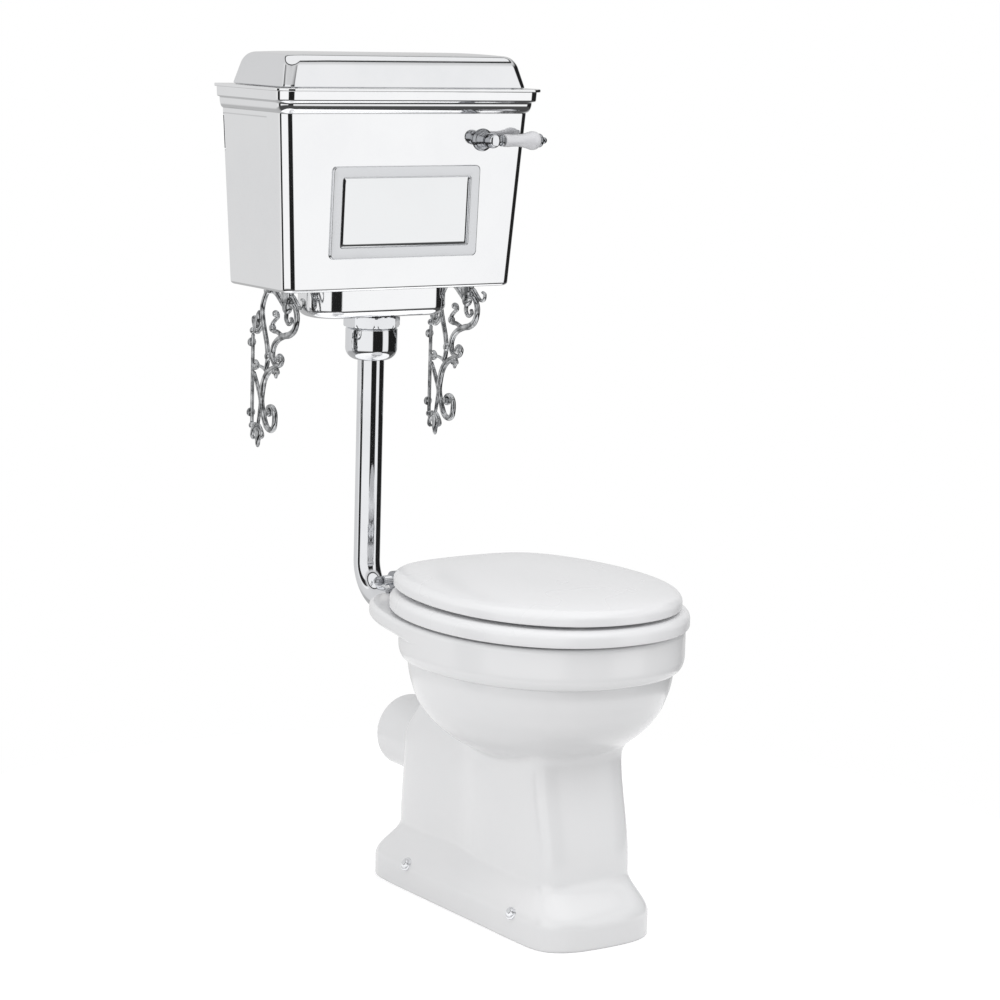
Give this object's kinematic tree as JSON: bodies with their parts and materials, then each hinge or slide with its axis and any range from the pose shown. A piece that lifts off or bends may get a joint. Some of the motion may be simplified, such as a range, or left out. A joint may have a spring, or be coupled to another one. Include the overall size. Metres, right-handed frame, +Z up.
{
  "type": "low level toilet",
  "caption": "Low level toilet: floor-standing pan with seat and lid, a metal cistern on scrolled wall brackets, a lever handle and an exposed flush pipe.",
  "frame": {"origin": "floor level, under the middle of the overall box: half way between the wall and the seat's front edge", "axes": "+X to the right seen from the front, +Y back towards the wall, +Z up"},
  "size_m": [0.4353, 0.728, 1.1318],
  "materials": {
    "china": "gloss white glaze",
    "cistern_metal": "polished",
    "seat_white": "gloss white paint",
    "buffer_white": "soft white",
    "chrome": "polished",
    "satin_plate": "brushed",
    "polished_plate": "polished",
    "bracket_metal": "polished casting",
    "siphon_plastic": "satin moulding",
    "rubber_black": "soft",
    "rubber_white": "soft",
    "brass": "machined"
  },
  "bodies": {
    "root": {"pan": "china", "floor_screws": "chrome", "floor_screw_caps": "chrome", "hinge_pillars": "chrome", "hinge_rod": "chrome", "hinge_finials": "chrome", "hinge_washers": "rubber_black", "hinge_nuts": "chrome", "tank_shell": "cistern_metal", "name_plate_frame": "satin_plate", "name_plate_field": "polished_plate", "lever_boss": "chrome", "lever_washer": "rubber_black", "lever_back_nut": "chrome", "siphon_body": "siphon_plastic", "siphon_washer": "rubber_black", "siphon_back_nut": "chrome", "flush_cup_nut": "chrome", "flush_pipe_washer": "rubber_black", "flush_pipe": "chrome", "flush_cone": "rubber_white", "fill_valve_body": "brass", "fill_valve_washers": "rubber_black", "fill_valve_back_nut": "brass", "float_arm_pin": "chrome", "bracket_left": "bracket_metal", "bracket_right": "bracket_metal"},
    "seat": {"seat_ring": "seat_white", "seat_buffers": "buffer_white", "seat_straps": "chrome", "seat_screws": "chrome"},
    "lid": {"seat_lid": "seat_white", "lid_buffers": "buffer_white", "lid_straps": "chrome", "lid_screws": "chrome"},
    "cistern_lid": {"tank_lid": "cistern_metal"},
    "lever": {"lever_spindle": "chrome", "lever_button": "chrome", "lever_neck": "chrome", "lever_handle": "china", "lever_end_cap": "chrome", "siphon_lift_arm": "brass"},
    "piston": {"siphon_piston": "siphon_plastic", "siphon_diaphragm": "rubber_black", "lift_link": "chrome"},
    "float": {"float_arm": "brass", "float_ball": "siphon_plastic"},
    "valve_closer": {"valve_piston": "brass"}
  },
  "joints": [
    {"name": "seat_hinge", "type": "hinge", "parent": "root", "child": "seat", "pos_m": [0, 0.084, 0.423], "axis": [-1, 0, 0], "range_deg": [0, 100]},
    {"name": "lid_hinge", "type": "hinge", "parent": "seat", "child": "lid", "pos_m": [0, 0.084, 0.423], "axis": [1, 0, 0], "range_deg": [-100, 0]},
    {"name": "cistern_lid_lift", "type": "slide", "parent": "root", "child": "cistern_lid", "axis": [0, 0, 1], "range_m": [0, 0.15]},
    {"name": "flush_lever", "type": "hinge", "parent": "root", "child": "lever", "pos_m": [0.123, 0.284, 1.014], "axis": [0, 1, 0], "range_deg": [0, 40], "stiffness_Nm_per_rad": 0.25, "springref_deg": -22.92},
    {"name": "siphon_lift", "type": "slide", "parent": "root", "child": "piston", "axis": [0, 0, 1], "range_m": [0, 0.0351]},
    {"name": "float_arm_pivot", "type": "hinge", "parent": "root", "child": "float", "pos_m": [0.14426, 0.312, 1.002], "axis": [0, 1, 0], "range_deg": [0, 25]},
    {"name": "valve_slide", "type": "slide", "parent": "root", "child": "valve_closer", "axis": [1, 0, 0], "range_m": [0, 0.0036]}
  ],
  "couplings": [
    {"joint": "siphon_lift", "follows": "flush_lever", "m_per_rad": 0.05013},
    {"joint": "valve_slide", "follows": "float_arm_pivot", "m_per_rad": 0.008}
  ]
}
